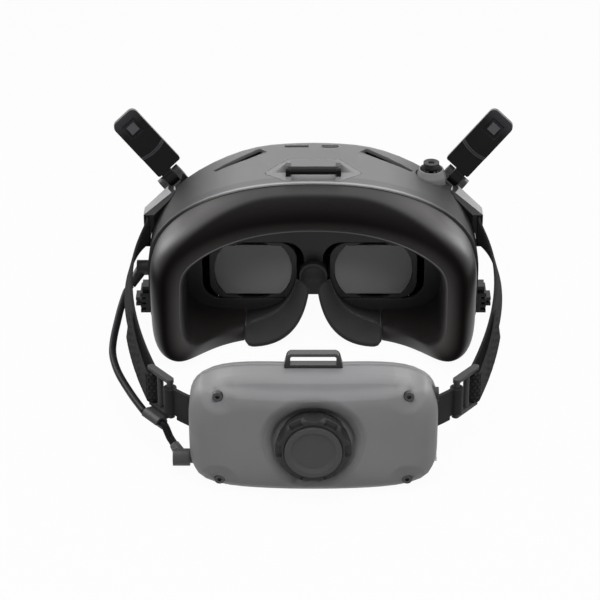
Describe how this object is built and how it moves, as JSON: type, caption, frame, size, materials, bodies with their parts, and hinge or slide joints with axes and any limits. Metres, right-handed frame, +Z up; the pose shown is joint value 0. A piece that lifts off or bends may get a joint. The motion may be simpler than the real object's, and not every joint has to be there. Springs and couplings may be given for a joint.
{
  "type": "fpv goggles",
  "caption": "Video goggles with a face pad, sliding eyepieces and folding antennas, held by straps and buckles to a rear battery case with a tension knob.",
  "frame": {"origin": "on the table under the middle of the goggles and battery case, z = 0 at the table", "axes": "+X to the wearer's right, +Y forward out of the goggles, +Z up"},
  "size_m": [0.2126, 0.232, 0.1085],
  "materials": {
    "grey_shell": "satin",
    "dark_plastic": "matt",
    "mid_plastic": "satin",
    "pad_skin": "gloss",
    "flap_rubber": "matt",
    "lens_glass": "polished",
    "screen": "gloss",
    "steel": "brushed",
    "alloy": "satin",
    "circuit": "satin",
    "webbing": "woven",
    "band_plastic": "satin",
    "buckle_plastic": "satin",
    "cable_skin": "gloss",
    "cell_wrap": "gloss"
  },
  "bodies": {
    "frame": {"housing": "grey_shell", "front_cover": "dark_plastic", "bottom_covers": "dark_plastic", "eye_plate": "dark_plastic", "face_pad": "pad_skin", "nose_flaps": "flap_rubber", "nose_scoop": "grey_shell", "left_strap_arm": "grey_shell", "right_strap_arm": "grey_shell", "top_strap_loop": "mid_plastic", "left_antenna_bracket": "mid_plastic", "right_antenna_bracket": "mid_plastic", "antenna_pins": "steel", "joystick_base": "mid_plastic", "optics_chassis": "mid_plastic", "ipd_rails": "steel", "mainboard": "circuit", "heat_sink": "alloy", "fan_frame": "dark_plastic", "usb_port": "steel", "card_slot": "dark_plastic", "power_socket": "dark_plastic", "side_vents": "dark_plastic", "housing_screws": "steel", "left_strap": "webbing", "right_strap": "webbing", "front_cable": "cable_skin", "rear_cable": "cable_skin", "goggles_plug": "cable_skin", "battery_plug": "mid_plastic", "case_rear_shell": "grey_shell", "case_front_shell": "grey_shell", "head_pad": "pad_skin", "case_strap_loop": "mid_plastic", "case_screws": "steel", "battery_cells": "cell_wrap", "battery_board": "circuit", "charge_port": "steel"},
    "knob": {"tension_knob": "mid_plastic", "knob_cap": "grey_shell", "pinion_shaft": "steel"},
    "left_slider": {"left_band": "band_plastic", "left_buckle": "buckle_plastic", "cable_clip": "buckle_plastic"},
    "right_slider": {"right_band": "band_plastic", "right_buckle": "buckle_plastic"},
    "left_aerial": {"left_antenna": "dark_plastic"},
    "right_aerial": {"right_antenna": "dark_plastic"},
    "left_eye": {"left_eyepiece": "dark_plastic", "left_lens": "lens_glass", "left_display": "screen"},
    "right_eye": {"right_eyepiece": "dark_plastic", "right_lens": "lens_glass", "right_display": "screen"},
    "joystick_ring": {"joystick_gimbal": "mid_plastic"},
    "joystick_post": {"joystick_stem": "mid_plastic"},
    "joystick_top": {"joystick_cap": "dark_plastic"},
    "fan": {"fan_rotor": "dark_plastic"},
    "button": {"power_button": "mid_plastic"}
  },
  "joints": [
    {"name": "knob_turn", "type": "hinge", "parent": "frame", "child": "knob", "pos_m": [0, -0.108, 0.0305], "axis": [0, -1, 0], "range_deg": [-60, 180]},
    {"name": "left_band_slide", "type": "hinge", "parent": "frame", "child": "left_slider", "pos_m": [0, -0.005, 0.031], "axis": [0, 0, -1], "range_deg": [-3.21, 9.52], "deforming": ["left_strap", "front_cable", "rear_cable"]},
    {"name": "right_band_slide", "type": "hinge", "parent": "frame", "child": "right_slider", "pos_m": [0, -0.005, 0.031], "axis": [0, 0, 1], "range_deg": [-3.21, 9.52], "deforming": ["right_strap"]},
    {"name": "left_antenna_fold", "type": "hinge", "parent": "frame", "child": "left_aerial", "pos_m": [-0.0756, 0.09005, 0.071], "axis": [-0.74, -0.273, -0.6147], "range_deg": [0, 135]},
    {"name": "right_antenna_fold", "type": "hinge", "parent": "frame", "child": "right_aerial", "pos_m": [0.0756, 0.09005, 0.071], "axis": [-0.74, 0.273, 0.6147], "range_deg": [0, 135]},
    {"name": "left_eye_slide", "type": "slide", "parent": "frame", "child": "left_eye", "axis": [-1, 0, 0], "range_m": [-0.0035, 0.0035]},
    {"name": "right_eye_slide", "type": "slide", "parent": "frame", "child": "right_eye", "axis": [1, 0, 0], "range_m": [-0.0035, 0.0035]},
    {"name": "joystick_tilt_y", "type": "hinge", "parent": "frame", "child": "joystick_ring", "pos_m": [0.0625, 0.08206, 0.077], "axis": [1, 0, 0], "range_deg": [-8, 8], "stiffness_Nm_per_rad": 0.02},
    {"name": "joystick_tilt_x", "type": "hinge", "parent": "joystick_ring", "child": "joystick_post", "pos_m": [0.0625, 0.08206, 0.077], "axis": [0, 1, 0], "range_deg": [-8, 8], "stiffness_Nm_per_rad": 0.02},
    {"name": "joystick_press", "type": "slide", "parent": "joystick_post", "child": "joystick_top", "axis": [0, 0, -1], "range_m": [0, 0.0005], "stiffness_N_per_m": 900},
    {"name": "fan_spin", "type": "hinge", "parent": "frame", "child": "fan", "pos_m": [-0.036, 0.0765, 0.065], "axis": [0, 0, 1], "continuous": true},
    {"name": "power_press", "type": "slide", "parent": "frame", "child": "button", "axis": [-1, 0, 0], "range_m": [0, 0.0006], "stiffness_N_per_m": 1200}
  ],
  "couplings": [
    {"joint": "left_band_slide", "follows": "knob_turn", "ratio": 0.052632},
    {"joint": "right_band_slide", "follows": "knob_turn", "ratio": 0.052632}
  ]
}
